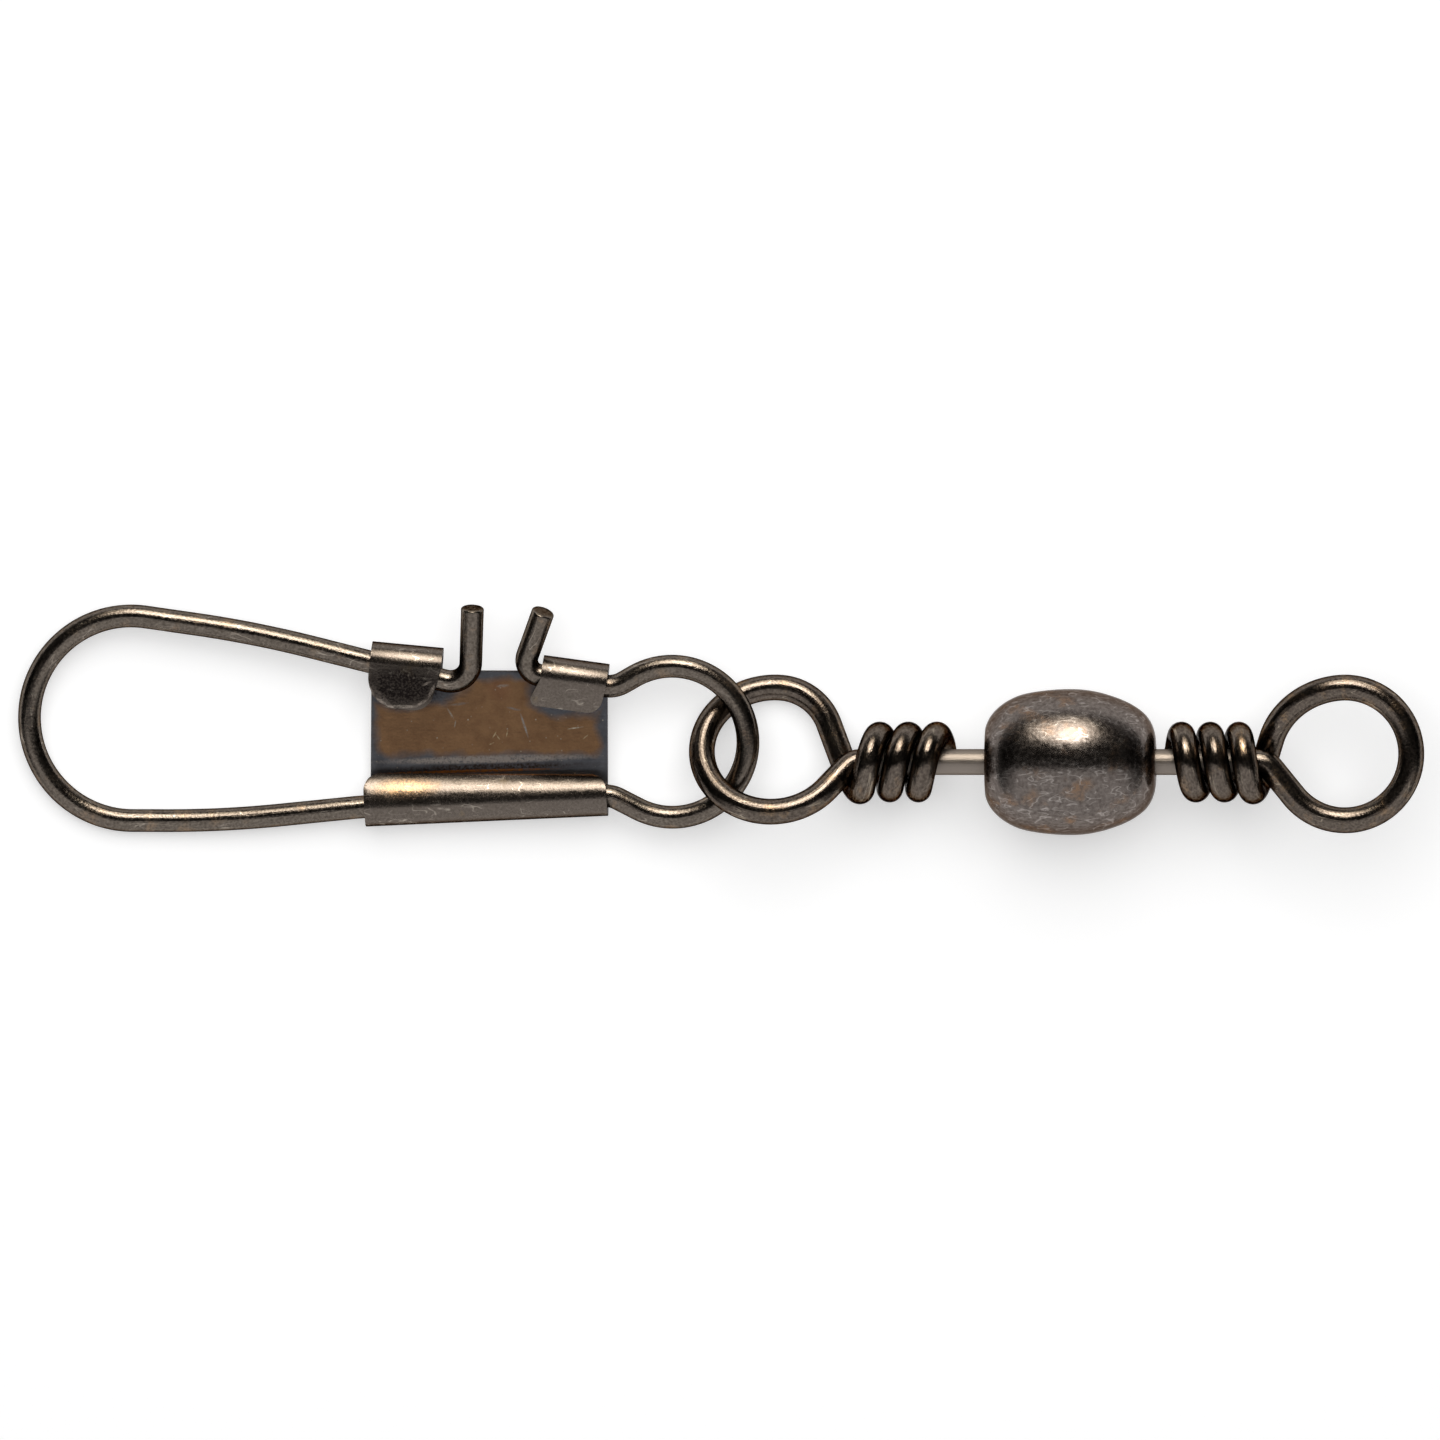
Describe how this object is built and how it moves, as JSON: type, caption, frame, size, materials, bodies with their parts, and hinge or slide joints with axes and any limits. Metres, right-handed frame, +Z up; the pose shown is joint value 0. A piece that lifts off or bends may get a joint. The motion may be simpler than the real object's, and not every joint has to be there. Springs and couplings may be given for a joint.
{
  "type": "fishing snap swivel",
  "caption": "Barrel swivel with a coiled wire eye at each end, linked to a bent spring-wire snap closed by a folded sheet clasp.",
  "frame": {"origin": "centre of the footprint, on the surface that the part lies on", "axes": "+X along the chain from the snap to the line eye, +Z up out of the surface, +Y across towards the snap's hooked ends"},
  "size_m": [0.05, 0.0082, 0.0052],
  "materials": {
    "snap_wire": "black-nickel plated spring steel, satin",
    "clasp_plate": "black-nickel plated sheet, warm tarnish",
    "swivel_wire": "black-nickel plated brass wire, satin",
    "barrel": "black-nickel plated brass, rubbed"
  },
  "bodies": {
    "snap": {"snap_wire": "snap_wire", "clasp_plate": "clasp_plate"},
    "snap_side_eye": {"snap_side_eye": "swivel_wire"},
    "swivel_barrel": {"swivel_barrel": "barrel"},
    "line_eye": {"line_eye": "swivel_wire"}
  },
  "joints": [
    {"name": "link_swing", "type": "hinge", "parent": "snap", "child": "snap_side_eye", "pos_m": [0.00099, -0.0008, 0.00161], "axis": [0, 0.7809, 0.6247], "range_deg": [-110, 110]},
    {"name": "snap_side_spin", "type": "hinge", "parent": "snap_side_eye", "child": "swivel_barrel", "pos_m": [0.01248, -0.00152, 0.00261], "axis": [0.9981, 0, 0.0619], "continuous": true},
    {"name": "line_side_spin", "type": "hinge", "parent": "swivel_barrel", "child": "line_eye", "pos_m": [0.01248, -0.00152, 0.00261], "axis": [0.9981, 0, 0.0619], "continuous": true}
  ]
}
